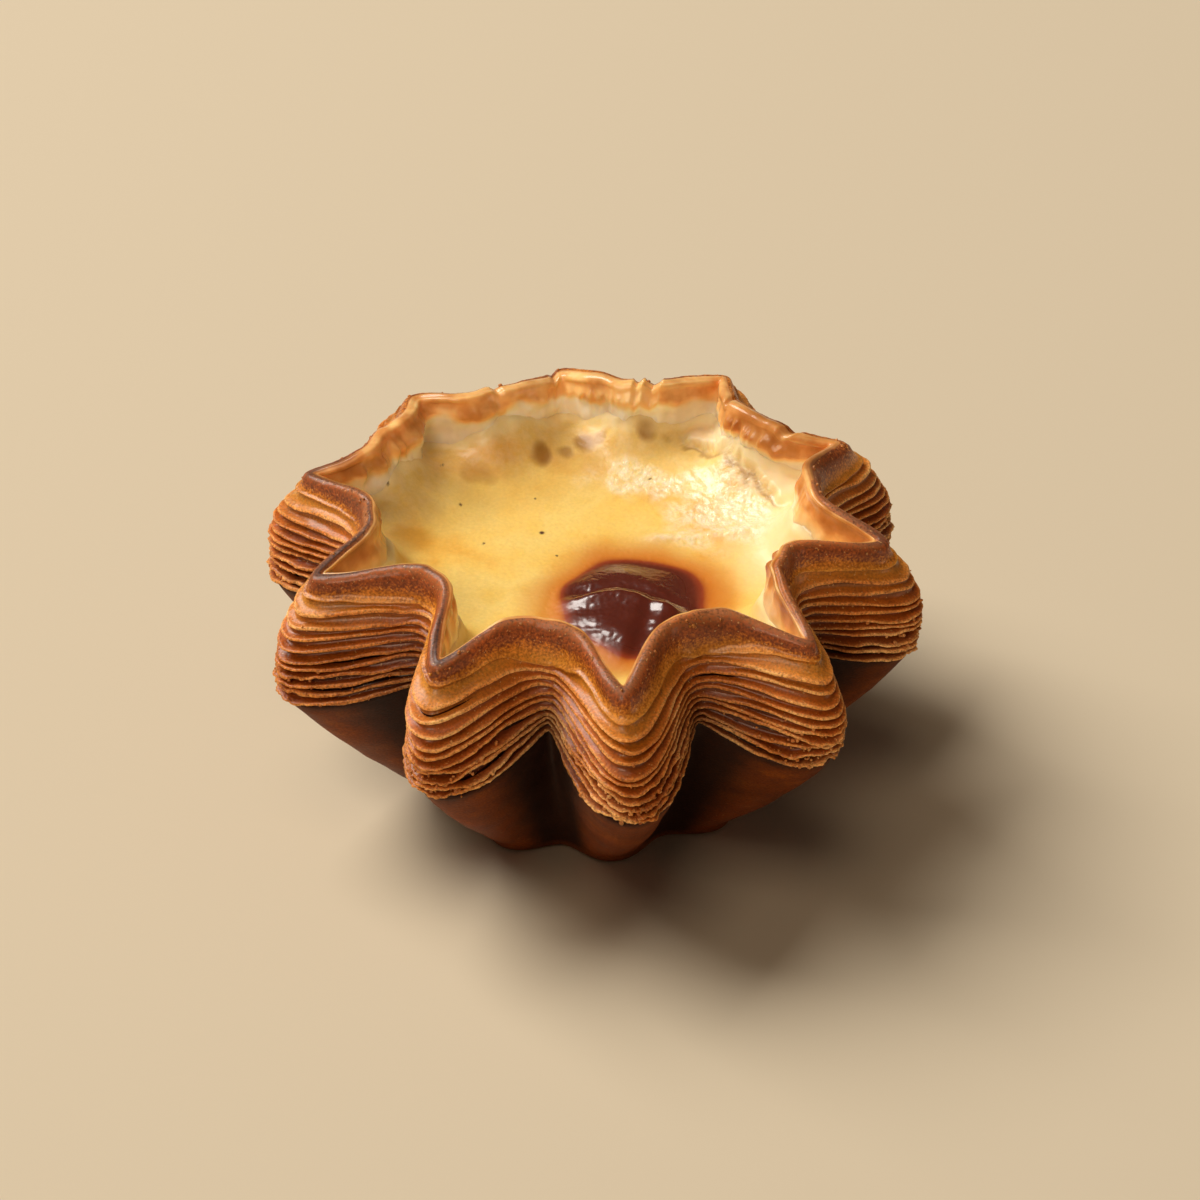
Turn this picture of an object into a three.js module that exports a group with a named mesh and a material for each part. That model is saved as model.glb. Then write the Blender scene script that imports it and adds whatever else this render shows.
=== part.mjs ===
// A baked custard tart, in millimetres, +Z up. It stands on z = 0 with the middle of its base at
// the origin and its front towards -Y. The shell is one piece of laminated pastry, pleated into
// ten flutes. Its cut edge is a sloping band on which the leaves of the dough end as steps. The
// custard fills the shell and has a browned blister near the front.

import * as THREE from "three";

// Driving dimensions of the flutes, one value for each, from the front flute towards +X
const FLUTE_ANGLE = [7, 46, 82, 117, 151, 187, 222, 255, 290, 328.5]; // degrees from the front
const LOBE_REACH = [40.9, 40.4, 40.4, 42.0, 41.0, 41.0, 41.0, 42.0, 40.8, 40.0]; // outer radius
const LOBE_LEAN = [0, -1.5, 0, 0, 1, -1, 0, 0, 3, 3.5]; // degrees from a lobe's crease to its outer middle
const CREASE_RADIUS = [34.0, 34.8, 34.4, 34.6, 34.0, 32.4, 33.6, 35.4, 34.4, 33.4]; // rim in the lobe

// The same for the pleats, each one between its flute and the next
const PLEAT_RADIUS = [25.6, 25.0, 27.4, 28.4, 28.0, 29.0, 30.4, 27.0, 24.0, 24.4]; // rim in the pleat
const PLEAT_HEIGHT = [38.0, 38.0, 37.6, 37.3, 37.4, 37.2, 37.0, 37.2, 38.0, 38.0];

// Driving dimensions of the shell
const CREASE_HEIGHT = 35.6; // rim height at a lobe's inner crease
const LOBE_EDGE_HEIGHT = 20.4; // lower edge of the cut band on a lobe
const PLEAT_EDGE_HEIGHT = 24.2; // lower edge of the cut band in a pleat
const PLEAT_WALL = 3.0; // wall thickness in a pleat
const BASE_LOBE_RADIUS = 23.0;
const BASE_PLEAT_RADIUS = 20.0;
const BASE_ROUNDING = 1.4; // height of the rounded foot of the wall
const BASE_INSET = 0.95; // radius of the flat base, as a share of the foot's
const WALL_SWELL = { lobe: 1.0, pleat: 0 }; // how far the lower wall bows out
const INNER_SWELL = { lobe: 1.5, pleat: 1.0 }; // how far the inner wall bows out
const WALL_RECESS = 0.9; // how far the lower wall starts in under the band
const FLOOR_HEIGHT = 4.5; // thickness of the bottom crust
const FLOOR_LOBE_RADIUS = 20.5;
const FLOOR_PLEAT_RADIUS = 13.8;

// Driving dimensions of the cut band and its leaves
const LEAVES = 11;
const LEAF_CROWDING = 0.72; // below 1, the leaves crowd towards the lower edge
const BAND_SWELL = { lobe: 2.4, pleat: 0.6 }; // how far the band swells between its edges
const LIP_LIFT = [0.12, 0.4]; // a leaf's lip above the band, at the rim and at the lower edge
const LIP_CUT = [0.15, 0.75]; // the crevice under a lip, at the same places
const LIP_DROP = 0.02; // how far down the band the crevice lies under its lip
const RIM_THICKNESS = 1.0;
const RIM_DROP = 0.5;

// Driving dimensions of the custard
const CUSTARD_LEVEL = 27.4; // level of its flat middle
const CUSTARD_BANK = 8.0; // width of the bank that rises to the wall
const CUSTARD_GAP = 0.3; // clearance to the pastry
const BLISTER = { x: 3.9, y: -9.0, radius: 10.2, height: 1.6 };

// Fineness of the surfaces
const STEPS_PER_FLUTE = 14;
const OUTER_WALL_STEPS = 5;
const INNER_WALL_ROWS = [0, 0.17, 0.4, 0.7, 1]; // from rim to floor, with the custard below the second
const CUSTARD_TOP_STEPS = 8;

const FLUTES = FLUTE_ANGLE.length;
const FLUTE_PITCH = 360 / FLUTES;
const lerp = THREE.MathUtils.lerp;

// How each of the curves round the wall is pinched and filled out (see wave), and the share of the
// lobes' lean that it has
const RIM_FORM = { pinch: -0.92, fullness: 1.5, lean: 0 };
const EDGE_FORM = { pinch: 0.74, fullness: 0.85, lean: 1 };
const BASE_FORM = { pinch: 0.5, fullness: 1, lean: 1 };
const FLOOR_FORM = { pinch: 0, fullness: 1, lean: 1 };

// Blends the values of neighbouring flutes, with u counting flutes round the tart.
function blend(values, u) {
  const k = Math.floor(u);
  const t = u - k;
  const before = values[((k % FLUTES) + FLUTES) % FLUTES];
  const after = values[(((k + 1) % FLUTES) + FLUTES) % FLUTES];
  return lerp(before, after, t * t * (3 - 2 * t));
}

// The angle at u, in radians from the front: the even pitch and each flute's departure from it.
function angleAt(u, lean) {
  const departure = FLUTE_ANGLE.map((angle, k) => angle - FLUTE_PITCH * k + LOBE_LEAN[k] * lean);
  return THREE.MathUtils.degToRad(FLUTE_PITCH * u + blend(departure, u));
}

// 1 on a lobe and 0 in a pleat. A pinch of -1 creases the lobes, 1 creases the pleats, and 0 is
// a plain cosine wave. A fullness below 1 broadens the lobes.
function wave(u, { pinch, fullness }) {
  const sharp = Math.max(Math.abs(pinch), 0.001);
  const slack = (1 - sharp) / sharp;
  const swing = pinch < 0 ? Math.sin(Math.PI * u) : Math.cos(Math.PI * u);
  const rise = (Math.hypot(swing, slack) - slack) / (Math.hypot(1, slack) - slack);
  return (pinch < 0 ? 1 - rise : rise) ** fullness;
}

// A point on a wavy ring, given by its radius and height on the lobe and in the pleat.
function ringPoint(u, lobe, pleat, form) {
  const w = wave(u, form);
  const radius = lerp(pleat.radius, lobe.radius, w);
  const angle = angleAt(u, form.lean);
  return new THREE.Vector3(
    radius * Math.sin(angle),
    -radius * Math.cos(angle),
    lerp(pleat.height, lobe.height, w),
  );
}

// The four curves that the wall runs between, each as its lobe and its pleat at u.
const rimAt = (u) => ({
  lobe: { radius: blend(CREASE_RADIUS, u), height: CREASE_HEIGHT },
  pleat: { radius: blend(PLEAT_RADIUS, u - 0.5), height: blend(PLEAT_HEIGHT, u - 0.5) },
});
const edgeAt = (u) => ({
  lobe: { radius: blend(LOBE_REACH, u) - WALL_RECESS, height: LOBE_EDGE_HEIGHT },
  pleat: { radius: blend(PLEAT_RADIUS, u - 0.5) + PLEAT_WALL, height: PLEAT_EDGE_HEIGHT },
});
const footAt = () => ({
  lobe: { radius: BASE_LOBE_RADIUS, height: BASE_ROUNDING },
  pleat: { radius: BASE_PLEAT_RADIUS, height: BASE_ROUNDING },
});
const floorAt = () => ({
  lobe: { radius: FLOOR_LOBE_RADIUS, height: FLOOR_HEIGHT },
  pleat: { radius: FLOOR_PLEAT_RADIUS, height: FLOOR_HEIGHT },
});

// A point between two such curves: t = 0 on the first, 1 on the second, swelling out in between.
function between(u, first, second, t, forms, swell) {
  const bow = Math.sin(Math.PI * t);
  const mix = (side, by) => ({
    radius: lerp(first(u)[side].radius, second(u)[side].radius, t) + by * bow,
    height: lerp(first(u)[side].height, second(u)[side].height, t),
  });
  const form = {
    pinch: lerp(forms[0].pinch, forms[1].pinch, t),
    fullness: lerp(forms[0].fullness, forms[1].fullness, t),
    lean: lerp(forms[0].lean, forms[1].lean, t),
  };
  return ringPoint(u, mix("lobe", swell.lobe), mix("pleat", swell.pleat), form);
}

// The cut band without its steps, from the rim (t = 0) to its lower edge (t = 1).
function bandPoint(u, t) {
  return between(u, rimAt, edgeAt, t, [RIM_FORM, EDGE_FORM], BAND_SWELL);
}

// The cut band with a leaf's lip raised from it, or a crevice sunk in it, square to its surface.
function bandRelief(u, t, lift) {
  const small = 0.01;
  const inside = Math.min(Math.max(t, small), 1 - small);
  const along = bandPoint(u + small, inside).sub(bandPoint(u - small, inside));
  const down = bandPoint(u, inside + small).sub(bandPoint(u, inside - small));
  const outward = down.cross(along).normalize();
  return bandPoint(u, t).addScaledVector(outward, lift);
}

// The inside of the shell, from just in from the rim (t = 0) to the floor (t = 1).
function innerWallPoint(u, t) {
  const inside = ({ radius, height }) => ({
    radius: radius - RIM_THICKNESS,
    height: height - RIM_DROP,
  });
  const lipAt = (v) => ({ lobe: inside(rimAt(v).lobe), pleat: inside(rimAt(v).pleat) });
  return between(u, lipAt, floorAt, t, [RIM_FORM, FLOOR_FORM], INNER_SWELL);
}

// The shell's section at u: from the middle of the base, up the outside, over the steps of the
// cut band to the rim, and down the inside to the middle of the floor.
function shellSection(u) {
  const points = [new THREE.Vector3(0, 0, 0)];
  const foot = ringPoint(u, footAt().lobe, footAt().pleat, BASE_FORM);
  points.push(new THREE.Vector3(foot.x * BASE_INSET, foot.y * BASE_INSET, 0), foot);
  for (let i = 1; i < OUTER_WALL_STEPS; i += 1) {
    const forms = [BASE_FORM, EDGE_FORM];
    points.push(between(u, footAt, edgeAt, i / OUTER_WALL_STEPS, forms, WALL_SWELL));
  }
  for (let leaf = LEAVES; leaf > 0; leaf -= 1) {
    const t = (leaf / LEAVES) ** LEAF_CROWDING;
    points.push(bandRelief(u, t, -lerp(...LIP_CUT, t)));
    points.push(bandRelief(u, t - LIP_DROP, lerp(...LIP_LIFT, t)));
  }
  points.push(bandPoint(u, 0));
  points.push(...INNER_WALL_ROWS.map((t) => innerWallPoint(u, t)));
  points.push(new THREE.Vector3(0, 0, FLOOR_HEIGHT));
  return points;
}

// The height of the custard's top at a point, given its distance in from the wall and the height
// at which the custard meets the wall: a bank along the wall, a flat middle, and the blister.
function custardHeight(point, fromWall, edgeHeight) {
  const bank = Math.max(0, 1 - fromWall / CUSTARD_BANK) ** 2;
  const off = Math.hypot(point.x - BLISTER.x, point.y - BLISTER.y) / BLISTER.radius;
  const dome = BLISTER.height * Math.max(0, 1 - off * off) ** 2;
  return lerp(CUSTARD_LEVEL, edgeHeight, bank) + dome;
}

// The custard's section at u: from the middle of its underside, up beside the shell's inner wall,
// and in over its top.
function custardSection(u) {
  const side = INNER_WALL_ROWS.slice(1).map((t) => {
    const wall = innerWallPoint(u, t);
    const radius = Math.hypot(wall.x, wall.y);
    return wall.multiply(new THREE.Vector3(1 - CUSTARD_GAP / radius, 1 - CUSTARD_GAP / radius, 1));
  });
  const [edge] = side;
  const underside = FLOOR_HEIGHT + CUSTARD_GAP;
  side.at(-1).z = underside;
  const points = [new THREE.Vector3(0, 0, underside), ...side.reverse()];
  for (let i = CUSTARD_TOP_STEPS - 1; i >= 0; i -= 1) {
    const share = i / CUSTARD_TOP_STEPS;
    const point = new THREE.Vector3(edge.x * share, edge.y * share, 0);
    const fromWall = Math.hypot(edge.x, edge.y) * (1 - share);
    point.z = custardHeight(point, fromWall, edge.z);
    points.push(point);
  }
  return points;
}

// Makes a closed turned shape from a section that changes as it goes round the tart.
function turned(section) {
  const profile = section(0).map((p) => new THREE.Vector2(Math.hypot(p.x, p.y), p.z));
  const columns = FLUTES * STEPS_PER_FLUTE;
  const geometry = new THREE.LatheGeometry(profile, columns);
  const position = geometry.getAttribute("position");
  for (let column = 0; column <= columns; column += 1) {
    const u = (column % columns) / STEPS_PER_FLUTE;
    section(u).forEach((p, row) => {
      position.setXYZ(column * profile.length + row, p.x, p.y, p.z);
    });
  }
  geometry.computeVertexNormals();
  return geometry;
}

// A named solid with its material.
function piece(name, section, color, roughness) {
  const material = new THREE.MeshStandardMaterial({ color, roughness, metalness: 0 });
  const mesh = new THREE.Mesh(turned(section), material);
  mesh.name = name;
  return mesh;
}

const tart = new THREE.Group();
tart.add(
  piece("pastry_shell", shellSection, "#9a5420", 0.55),
  piece("custard_filling", custardSection, "#f0cf76", 0.3),
);

export default tart;
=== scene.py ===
"""Looks of a baked custard tart: a fluted shell of laminated pastry, its custard and its crumbs."""

import math
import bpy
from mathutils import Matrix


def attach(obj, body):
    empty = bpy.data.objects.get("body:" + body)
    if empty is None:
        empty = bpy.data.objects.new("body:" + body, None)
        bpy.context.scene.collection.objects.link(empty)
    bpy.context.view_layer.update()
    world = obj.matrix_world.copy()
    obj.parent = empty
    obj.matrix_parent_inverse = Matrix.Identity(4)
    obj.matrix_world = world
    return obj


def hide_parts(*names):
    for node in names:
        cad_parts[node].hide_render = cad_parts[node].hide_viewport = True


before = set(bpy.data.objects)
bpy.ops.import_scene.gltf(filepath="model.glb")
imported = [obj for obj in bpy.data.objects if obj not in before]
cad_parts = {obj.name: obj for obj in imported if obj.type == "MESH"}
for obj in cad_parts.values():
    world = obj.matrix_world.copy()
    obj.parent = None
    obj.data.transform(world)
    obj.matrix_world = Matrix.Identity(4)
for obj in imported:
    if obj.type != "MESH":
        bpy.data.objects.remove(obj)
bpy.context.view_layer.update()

from types import SimpleNamespace

import bpy
import numpy as np
from mathutils import Vector, noise

MM = 0.001

# Camera of the photograph, in millimetres and degrees
AIM = (0.95, 6.6, 18.0)
CAMERA_DISTANCE = 505.0
CAMERA_ELEVATION = 37.0
CAMERA_LENS = 122.07
CAMERA_SENSOR = 36.0

# Studio, in metres and watts: name, place, size, power, colour and whether the light falls on the floor
LIGHTS = (
    ("key_softbox", (-1.37, 0.84, 1.82), 1.45, 63.0, "#fffaf2", True),
    ("top_fill", (-0.15, -0.3, 1.1), 0.6, 1.6, "#ffead2", True),
    ("front_fill", (-0.38, -0.85, 0.8), 0.5, 4.7, "#ffe6c8", False),
    ("side_fill", (0.8, -0.35, 0.14), 0.3, 0.5, "#ffe6c8", False),
)
LIGHT_AIM = (0, 0, 0.02)
AMBIENT_COLOUR = "#ffecd8"
AMBIENT_STRENGTH = 0.05
FLOOR_SIZE = 6.0
FLOOR_DROP = 0.00005

# Flutes of the shell, one value for each, from the front flute towards +X, in millimetres
FLUTE_ANGLE = (7, 46, 82, 117, 151, 187, 222, 255, 290, 328.5)
LOBE_REACH = (40.9, 40.4, 40.4, 42.0, 41.0, 41.0, 41.0, 42.0, 40.8, 40.0)
LOBE_LEAN = (0, -1.5, 0, 0, 1, -1, 0, 0, 3, 3.5)
CREASE_RADIUS = (34.0, 34.8, 34.4, 34.6, 34.0, 32.4, 33.6, 35.4, 34.4, 33.4)
PLEAT_RADIUS = (25.6, 25.0, 27.4, 28.4, 28.0, 29.0, 30.4, 27.0, 24.0, 24.4)
PLEAT_HEIGHT = (38.0, 38.0, 37.6, 37.3, 37.4, 37.2, 37.0, 37.2, 38.0, 38.0)
# How much the first leaves widen on the arch of each pleat, as a share of the band
ARCH_SHIFT = (0.2, 0.13, 0.06, 0.06, 0.06, 0.06, 0.06, 0.06, 0.1, 0.2)
FLUTES = len(FLUTE_ANGLE)
FLUTE_PITCH = 360 / FLUTES

# Sizes of the shell that hold for every flute
CREASE_HEIGHT = 35.6
LOBE_EDGE_HEIGHT = 20.4
PLEAT_EDGE_HEIGHT = 24.2
PLEAT_WALL = 3.0
WALL_RECESS = 0.9
BASE_LOBE_RADIUS = 23.0
BASE_PLEAT_RADIUS = 20.0
BASE_ROUNDING = 1.4
BASE_INSET = 0.95
FLOOR_HEIGHT = 4.5
FLOOR_LOBE_RADIUS = 20.5
FLOOR_PLEAT_RADIUS = 13.8
RIM_THICKNESS = 1.0
RIM_DROP = 0.5
BACK_THICKENING = 0.7
WALL_SWELL = (1.0, 0.0)
INNER_SWELL = (1.5, 1.0)
BAND_SWELL = (2.4, 0.6)

# How each curve round the wall is pinched and filled out, and its share of the lobes' lean
RIM_FORM = (-0.92, 1.5, 0.0)
EDGE_FORM = (0.74, 0.85, 1.0)
BASE_FORM = (0.5, 1.0, 1.0)
FLOOR_FORM = (0.0, 1.0, 1.0)

# Leaves of the cut edge
LEAVES = 11
LEAF_CROWDING = 0.72
BAND_LENGTH = 19.0
LIP_LIFT = (0.22, 0.45)
LIP_CUT = (0.4, 0.95)
LIP_THICKNESS = 0.44
BACKING_DEPTH = 1.3
BACK_TOAST = 0.11
CREST_CRUMBS = 90
# The thick first leaf, a roll and a tread: share of its width, and rise
FIRST_LEAF = (
    (0.03, 0.1), (0.07, 0.2), (0.13, 0.3), (0.2, 0.37), (0.28, 0.4),
    (0.37, 0.36), (0.46, 0.26), (0.56, 0.12), (0.66, -0.02), (0.78, -0.12),
    (0.87, -0.08), (0.93, 0.06), (0.97, 0.16), (1.0, 0.12), (1.0, -0.3),
)
# Rows over the rim from the inside out: share of its thickness, drop, depth of its groove, how burnt
RIM_ROWS = (
    (0.94, 0.34, 0.0, 0.0), (0.82, 0.1, 0.0, 0.0), (0.7, 0.02, 0.0, 0.0), (0.58, 0.02, 0.3, 0.15),
    (0.44, 0.0, 0.4, 0.3), (0.3, -0.04, 0.3, 0.4), (0.15, -0.04, 0.0, 0.9), (0.04, -0.02, 0.0, 1.0),
)

# Stretches round the tart: degrees from the front, half width in degrees, and strength or depth
RIM_BURNT = ((300, 40, 0.75), (106, 13, 0.8))
RIM_BROWN = ((128, 14, 1.0), (232, 16, 0.6))
RIM_DIP = ((194, 13, 1.1),)
RIM_NICKS = (
    (164, 2.2, 1.1), (168, 1.2, 0.7), (189, 1.0, 0.5), (205, 1.5, 0.5), (143, 1.0, 0.6), (124, 1.6, 0.7),
)
# Painted light: stretches of the outer wall painted lighter, as if lit
WALL_PAINTED_LIGHT = ((7, 13, 0.9), (46, 12, 0.55), (76, 22, 0.95), (328, 11, 0.5))

# Custard
CUSTARD_LEVEL = 27.4
CUSTARD_BANK = 8.0
BACK_BANK = 15.0
CUSTARD_EDGE = 0.17
CUSTARD_BITE = 0.8
CUSTARD_GAP = 0.3
TORN_SKIN_RADIUS = 26.2
# Rough translucent patch at the right and froth at the back: middle and half sizes
ROUGH_SPOT = (16.5, 11.5, 9.0, 9.5)
FROTH_SPOT = (6.0, 17.5, 11.0, 4.2)
# Burst bubbles: place, radius and depth
CUSTARD_PITS = (
    (-6.4, 21.8, 1.9, 0.9), (-3.4, 22.8, 1.9, 0.75), (-1.2, 23.8, 2.1, 0.8), (0.8, 24.2, 1.2, 0.6),
    (3.8, 25.4, 1.9, 0.85), (6.6, 23.8, 1.5, 0.95), (-11.5, 24.6, 1.8, 0.3), (9.5, 23.6, 0.9, 0.4),
    (-22.5, 5.5, 3.2, 0.26), (-20.5, 11.5, 3.4, 0.24), (-14.3, 18.2, 2.8, 0.5),
)
# Dark specks: place and radius
CUSTARD_SPECKS = (
    (-25.2, 11.9, 0.24), (-16.3, 12.7, 0.26), (-6.2, 7.9, 0.38), (-13.3, 5.6, 0.22),
    (-18.8, 19.2, 0.24), (-7.1, 14.7, 0.2), (-4.3, 3.1, 0.2), (7.3, 18.1, 0.2),
)
BLISTER = (3.9, -9.0)
BLISTER_SPREAD = (9.6, 10.8)
BLISTER_HEIGHT = 1.6

# What the vertices of each piece tell its finish
PASTRY_MASKS = ("inside", "lip", "crevice_shade", "down", "wall", "crest", "pleat_shade")
CUSTARD_MASKS = ("burn", "halo", "edge", "pits_and_shade", "froth_and_highlight", "skin", "speck")
# Noise patterns of each finish: name, size in millimetres and detail
PASTRY_PATTERNS = (("blotch", 7.0, 4.0), ("grit", 0.3, 2.0), ("wash", 3.0, 3.0), ("sugar_and_glint", 0.38, 1.0))
CUSTARD_PATTERNS = (("cloud", 9.0, 3.0), ("froth", 1.0, 2.0), ("curd", 0.4, 2.0), ("bead", 0.5, 3.0))

# Fineness of the meshes
SHELL_COLUMNS = 1080
LEAF_COLUMNS = 1440
CUSTARD_COLUMNS = 440
CUSTARD_RINGS = 200


def mix(a, b, share):
    """The value a share of the way from a to b."""
    return a + (b - a) * share


def smooth(low, high, value):
    """0 below low, 1 above high and an even rise between."""
    share = np.clip((value - low) / (high - low), 0, 1)
    return share * share * (3 - 2 * share)


def bell(offset, width):
    """1 at no offset, about a third at the width and next to nothing beyond twice that."""
    return np.exp(-((offset / width) ** 2))


def marked(turn, stretches):
    """How strongly stretches round the tart mark each turn, in degrees from the front."""
    return sum(strength * bell(turn - place, width) for place, width, strength in stretches)


def grain(points, size, seed):
    """Soft noise from about -1 to 1 with features of the given size in millimetres."""
    shift = Vector((seed * 17.3, seed * 5.1, seed * 9.7))
    flat = np.asarray(points).reshape(-1, 3) / size
    values = [noise.noise(Vector(p) + shift) for p in flat.tolist()]
    return np.array(values).reshape(np.asarray(points).shape[:-1]) * 1.6


def blend(values, u):
    """Blends the values of neighbouring flutes, with u counting flutes round the tart."""
    before = np.floor(u).astype(int)
    share = u - before
    values = np.array(values)
    return mix(values[before % FLUTES], values[(before + 1) % FLUTES], share * share * (3 - 2 * share))


def angle_at(u, lean):
    """The angle at u, in radians from the front."""
    departure = np.array(FLUTE_ANGLE) - FLUTE_PITCH * np.arange(FLUTES)
    stray = (1 - lean) * np.interp(u, STRAY_STEPS, RIM_SWAY, period=FLUTES)
    return np.radians(FLUTE_PITCH * u + blend(departure, u) + blend(LOBE_LEAN, u) * lean + stray)


def turn_at(u):
    """The turn of the rim at u, in degrees from the front."""
    return np.degrees(angle_at(u, 0.0)) % 360


def wave(u, pinch, fullness=1.0):
    """1 on a lobe and 0 in a pleat; a pinch of -1 creases the lobes and 1 creases the pleats."""
    sharp = np.maximum(np.abs(pinch), 0.001)
    slack = (1 - sharp) / sharp
    swing = np.where(pinch < 0, np.sin(np.pi * u), np.cos(np.pi * u))
    rise = (np.hypot(swing, slack) - slack) / (np.hypot(1, slack) - slack)
    return np.where(pinch < 0, 1 - rise, rise) ** fullness


def rim(u):
    """Radius and height of the rim, on the lobe and in the pleat."""
    stray = np.interp(u, STRAY_STEPS, RIM_STRAY, period=FLUTES)
    pleat = blend(PLEAT_RADIUS, u - 0.5) + stray, blend(PLEAT_HEIGHT, u - 0.5)
    return blend(CREASE_RADIUS, u) + stray, CREASE_HEIGHT + 0 * u, *pleat


def inner_rim(u):
    """The same just inside the rim."""
    lobe_radius, lobe_height, pleat_radius, pleat_height = rim(u)
    thick = RIM_THICKNESS
    return lobe_radius - thick, lobe_height - RIM_DROP, pleat_radius - thick, pleat_height - RIM_DROP


def edge(u):
    """The same for the lower edge of the cut band."""
    pleat_radius = blend(PLEAT_RADIUS, u - 0.5) + PLEAT_WALL
    return blend(LOBE_REACH, u) - WALL_RECESS, LOBE_EDGE_HEIGHT, pleat_radius, PLEAT_EDGE_HEIGHT


def foot(u):
    """The same for the foot of the wall."""
    return BASE_LOBE_RADIUS, BASE_ROUNDING, BASE_PLEAT_RADIUS, BASE_ROUNDING


def floor(u):
    """The same for the floor inside the shell."""
    return FLOOR_LOBE_RADIUS, FLOOR_HEIGHT, FLOOR_PLEAT_RADIUS, FLOOR_HEIGHT


def between(u, t, first, second, forms, swell):
    """Points between two of those curves: t is 0 on the first and 1 on the second."""
    bow = np.sin(np.pi * t)
    ends = zip(first(u), second(u))
    lobe_radius, lobe_height, pleat_radius, pleat_height = (mix(a, b, t) for a, b in ends)
    pinch, fullness, lean = (mix(a, b, t) for a, b in zip(*forms))
    w = wave(u, pinch, fullness)
    radius = mix(pleat_radius + swell[1] * bow, lobe_radius + swell[0] * bow, w)
    angle = angle_at(u, lean)
    height = mix(pleat_height, lobe_height, w)
    return np.stack([radius * np.sin(angle), -radius * np.cos(angle), height], -1)


def band(u, t):
    """The cut band without its leaves, from the rim to its lower edge."""
    return between(u, t, rim, edge, (RIM_FORM, EDGE_FORM), BAND_SWELL)


def band_normal(u, t):
    """The direction square to the cut band."""
    step = 0.01
    inside = np.clip(t, step, 1 - step)
    along = band(u + step, inside) - band(u - step, inside)
    down = band(u, inside + step) - band(u, inside - step)
    normal = np.cross(down, along)
    return normal / np.linalg.norm(normal, axis=-1, keepdims=True)


def inner_wall(u, t):
    """The inside of the shell, from just inside the rim to the floor."""
    return between(u, t, inner_rim, floor, (RIM_FORM, FLOOR_FORM), INNER_SWELL)


def outer_wall(u, t):
    """The outside of the shell under the band, from the band's lower edge to the foot."""
    return between(u, t, edge, foot, (EDGE_FORM, BASE_FORM), WALL_SWELL)


def centre(u, height):
    """A row of points that all lie on the tart's middle line."""
    return np.stack([0 * u, 0 * u, 0 * u + height], -1)


def pushed(points, outward):
    """The points moved outwards from the tart's middle line."""
    scale = 1 + outward / np.hypot(points[:, 0], points[:, 1])
    return points * np.stack([scale, scale, np.ones(len(points))], -1)


def round_noise(u, per_flute, seed):
    """Noise along the flutes that closes on itself after one turn."""
    turn = 2 * np.pi * u / FLUTES
    radius = per_flute * FLUTES / (2 * np.pi)
    points = np.stack([radius * np.cos(turn), radius * np.sin(turn), 0 * turn + seed * 3.7], -1)
    return grain(points, 1.0, seed)


# How far the rim strays from its even waves: in or out in millimetres, and sideways in degrees
STRAY_STEPS = np.arange(0, FLUTES, 0.01)
RIM_STRAY = 0.4 * round_noise(STRAY_STEPS, 2.7, 93) + 0.22 * round_noise(STRAY_STEPS, 7, 94)
RIM_SWAY = 0.9 * round_noise(STRAY_STEPS, 2.3, 95) + 0.5 * round_noise(STRAY_STEPS, 6, 96)


def ring_mean(values, count):
    """The running mean of values round the tart over an odd count of them."""
    side = count // 2
    around = np.concatenate([values[-side:], values, values[:side]])
    return np.convolve(around, np.ones(count) / count, "valid")


def bare_sheet(name, columns, rows):
    """Adds a flat grid and returns it with the column and row number of each vertex."""
    bpy.ops.object.select_all(action="DESELECT")
    bpy.ops.mesh.primitive_grid_add(x_subdivisions=columns, y_subdivisions=rows - 1, size=1)
    piece = bpy.context.object
    piece.name = name
    piece.data.name = name
    place = np.empty(len(piece.data.vertices) * 3)
    piece.data.vertices.foreach_get("co", place)
    place = place.reshape(-1, 3) + 0.5
    column = np.rint(place[:, 0] * columns).astype(int)
    row = np.rint(place[:, 1] * (rows - 1)).astype(int)
    return piece, column, row


def wrap(name, ring_rows, mask_names):
    """Wraps a grid round the tart: each row holds its points, in millimetres, and its masks."""
    points = np.stack([row for row, _ in ring_rows])
    rows, columns = points.shape[:2]
    masks = {}
    for mask in mask_names:
        values = [np.broadcast_to(marks.get(mask, 0.0), columns) for _, marks in ring_rows]
        masks[mask] = np.stack(values)
    piece, column, row = bare_sheet(name, columns, rows)
    column = column % columns
    piece.data.vertices.foreach_set("co", (points[row, column] * MM).ravel())
    for mask, values in masks.items():
        attribute = piece.data.attributes.new(mask, "FLOAT", "POINT")
        attribute.data.foreach_set("value", values[row, column].astype(np.float32))
    bpy.ops.object.mode_set(mode="EDIT")
    bpy.ops.mesh.select_all(action="SELECT")
    bpy.ops.mesh.remove_doubles(threshold=1e-6)
    bpy.ops.mesh.normals_make_consistent(inside=False)
    bpy.ops.object.mode_set(mode="OBJECT")
    bpy.ops.object.shade_smooth()
    return piece


def lip_place(leaf, u):
    """How far down the band the lip of a leaf lies, from 0 at the rim to 1 at the lower edge."""
    if leaf == 0:
        return 0 * u
    even = (leaf / LEAVES) ** LEAF_CROWDING
    width = even - ((leaf - 1) / LEAVES) ** LEAF_CROWDING
    own = 0.26 * round_noise(u, 2.4, 20 + leaf) + 0.12 * round_noise(u, 6, 45 + leaf)
    own = own + 0.05 * round_noise(u, 17, 70 + leaf)
    shared = 0.3 * round_noise(u, 1.1, 5)
    fade = 0.3 if leaf == LEAVES else 1 + 0.7 * smooth(0.5, 0.9, leaf / LEAVES)
    place = even + width * (own + shared) * fade
    return place + blend(ARCH_SHIFT, u - 0.5) * (1 - place) * (1 - wave(u, 0.0)) ** 1.5


def in_lobe(u):
    """How open the leaves lie: 1 on a lobe and less in a pleat."""
    return 0.35 + 0.65 * wave(u, 0.5)


def painted_pleat_shade(u, place):
    """How much painted shade a place on the band gets deep in a pleat, where shade falls."""
    return 0.7 * (1 - wave(u, 0.5)) ** 1.8 * smooth(0.45, 1.0, place)


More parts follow.
